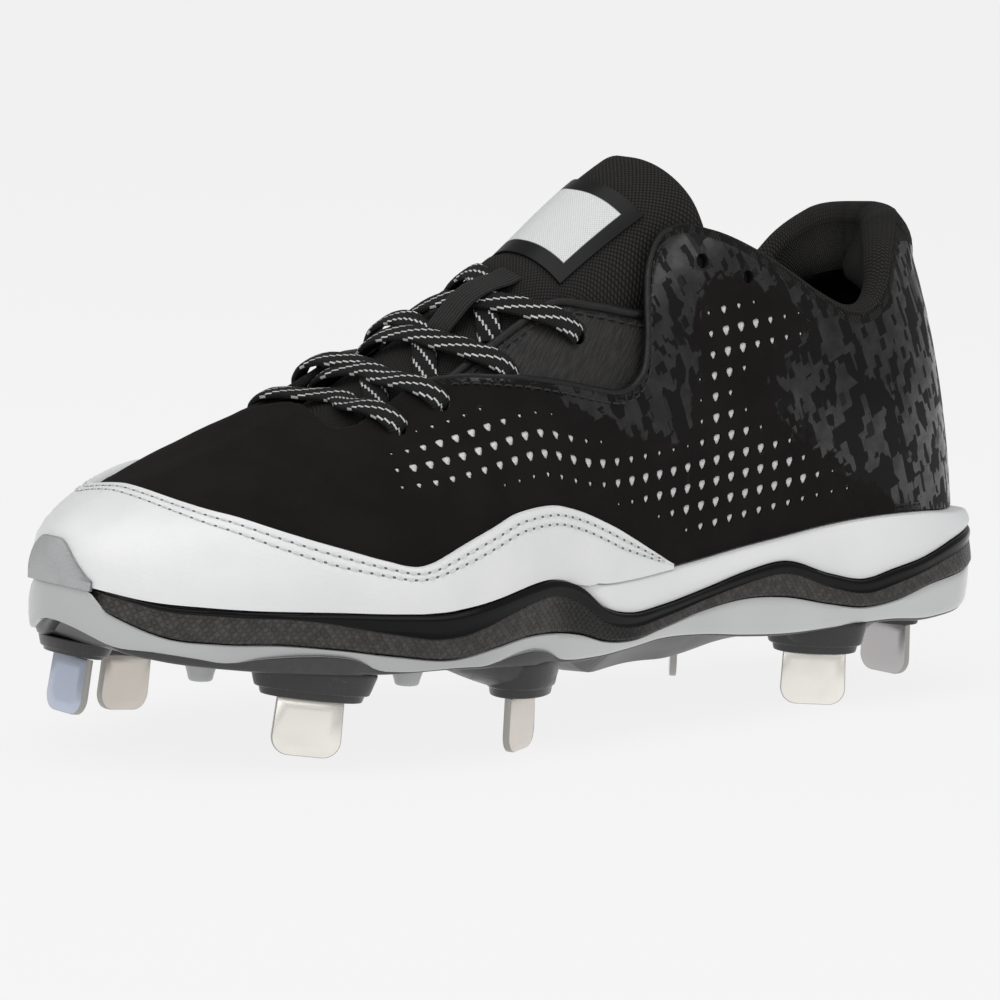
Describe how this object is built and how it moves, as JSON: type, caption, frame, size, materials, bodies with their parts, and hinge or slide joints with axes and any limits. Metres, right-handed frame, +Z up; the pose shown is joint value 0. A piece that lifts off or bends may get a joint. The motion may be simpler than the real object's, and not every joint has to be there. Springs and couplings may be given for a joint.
{
  "type": "athletic cleat",
  "caption": "Low-cut left baseball cleat with a hollow laced upper, white toe guard, foam midsole, wavy outsole frame and steel blades under a moulded plate.",
  "frame": {"origin": "on the floor, under the middle of the shoe's length and width", "axes": "+X to the toe, +Y to the outer side of this left shoe, +Z up"},
  "size_m": [0.2936, 0.0994, 0.1388],
  "materials": {
    "black_synthetic": "matt black synthetic nubuck with gloss film",
    "white_synthetic": "smooth white synthetic leather",
    "grey_rubber": "fine textured grey rubber",
    "black_mesh": "black padded mesh",
    "black_leather": "brushed black synthetic leather",
    "white_foam": "moulded white foam",
    "black_gloss": "gloss black with a scaled band",
    "light_gloss": "gloss pale grey",
    "dark_plastic": "satin dark grey",
    "steel": "plain rolled steel",
    "lace_cord": "black woven lace with pale flecks"
  },
  "bodies": {
    "root": {"upper": "black_synthetic", "toe_guard": "white_synthetic", "toe_bumper": "grey_rubber", "tongue": "black_mesh", "lace_wing_outer": "black_leather", "lace_wing_inner": "black_leather", "lace_1": "lace_cord", "lace_2": "lace_cord", "lace_3": "lace_cord", "lace_4": "lace_cord", "insole": "black_mesh", "midsole": "white_foam", "outsole_frame": "black_gloss", "outsole_plate": "light_gloss", "cleat_base_toe": "dark_plastic", "cleat_base_ball_inner": "dark_plastic", "cleat_base_ball_outer": "dark_plastic", "cleat_base_rear_outer": "dark_plastic", "cleat_base_rear_inner": "dark_plastic", "cleat_base_heel_outer": "dark_plastic", "cleat_base_heel_inner": "dark_plastic", "cleat_base_heel_back": "dark_plastic", "blade_toe": "steel", "blade_ball_inner": "steel", "blade_ball_outer": "steel", "blade_rear_outer": "steel", "blade_rear_inner": "steel", "blade_heel_outer": "steel", "blade_heel_inner": "steel", "blade_heel_back": "steel", "nub_a": "light_gloss", "nub_b": "light_gloss", "nub_c": "light_gloss", "nub_d": "light_gloss", "nub_e": "light_gloss"}
  },
  "joints": []
}
